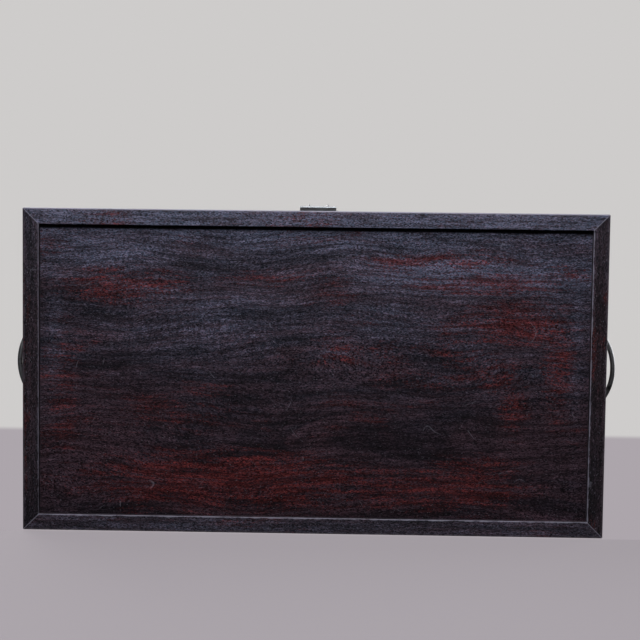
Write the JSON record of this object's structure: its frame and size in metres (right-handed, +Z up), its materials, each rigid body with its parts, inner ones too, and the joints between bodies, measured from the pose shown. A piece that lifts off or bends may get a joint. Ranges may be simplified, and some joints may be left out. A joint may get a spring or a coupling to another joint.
{
  "type": "lidded wooden box",
  "caption": "Low hardwood box with a hinged lid, a recessed bottom board, a round lock plate with a swinging flap, and a bail handle at each end.",
  "frame": {"origin": "middle of the underside, in the plane the box stands on", "axes": "+X along the box to its right end, +Y from the front with the lock to the back with the hinges, +Z up"},
  "size_m": [0.394, 0.212, 0.15],
  "materials": {
    "hardwood": "thin satin wax over open-grained dark hardwood",
    "white_metal": "aged grey white-metal, softly polished on raised places"
  },
  "bodies": {
    "case": {"back_wall": "hardwood", "bottom_board": "hardwood", "eye_post_left_back": "white_metal", "eye_post_left_front": "white_metal", "eye_post_right_back": "white_metal", "eye_post_right_front": "white_metal", "front_wall": "hardwood", "hinge_left_body_leaf": "white_metal", "hinge_left_pin": "white_metal", "hinge_nails_body": "white_metal", "hinge_right_body_leaf": "white_metal", "hinge_right_pin": "white_metal", "left_wall": "hardwood", "lip_front": "hardwood", "lip_left": "hardwood", "lip_right": "hardwood", "lock_nails_lower": "white_metal", "lock_plate_lower": "white_metal", "lock_staples": "white_metal", "right_wall": "hardwood", "rosette_left_back": "white_metal", "rosette_left_front": "white_metal", "rosette_right_back": "white_metal", "rosette_right_front": "white_metal"},
    "lid": {"flap_pin": "white_metal", "hinge_left_lid_leaf": "white_metal", "hinge_nails_lid": "white_metal", "hinge_right_lid_leaf": "white_metal", "lid_back_wall": "hardwood", "lid_front_wall": "hardwood", "lid_left_wall": "hardwood", "lid_right_wall": "hardwood", "lid_top_board": "hardwood", "lock_nails_upper": "white_metal", "lock_plate_upper": "white_metal"},
    "flap": {"hasp_flap": "white_metal"},
    "left_bail": {"bail_left": "white_metal"},
    "right_bail": {"bail_right": "white_metal"}
  },
  "joints": [
    {"name": "lid_hinge", "type": "hinge", "parent": "case", "child": "lid", "pos_m": [0, 0.1025, 0.10515], "axis": [-1, 0, 0], "range_deg": [0, 105]},
    {"name": "flap_hinge", "type": "hinge", "parent": "lid", "child": "flap", "pos_m": [0, -0.1021, 0.1193], "axis": [-1, 0, 0], "range_deg": [0, 170]},
    {"name": "left_bail_swing", "type": "hinge", "parent": "case", "child": "left_bail", "pos_m": [-0.185, 0, 0.086], "axis": [0, 1, 0], "range_deg": [0, 160]},
    {"name": "right_bail_swing", "type": "hinge", "parent": "case", "child": "right_bail", "pos_m": [0.185, 0, 0.086], "axis": [0, -1, 0], "range_deg": [0, 160]}
  ]
}
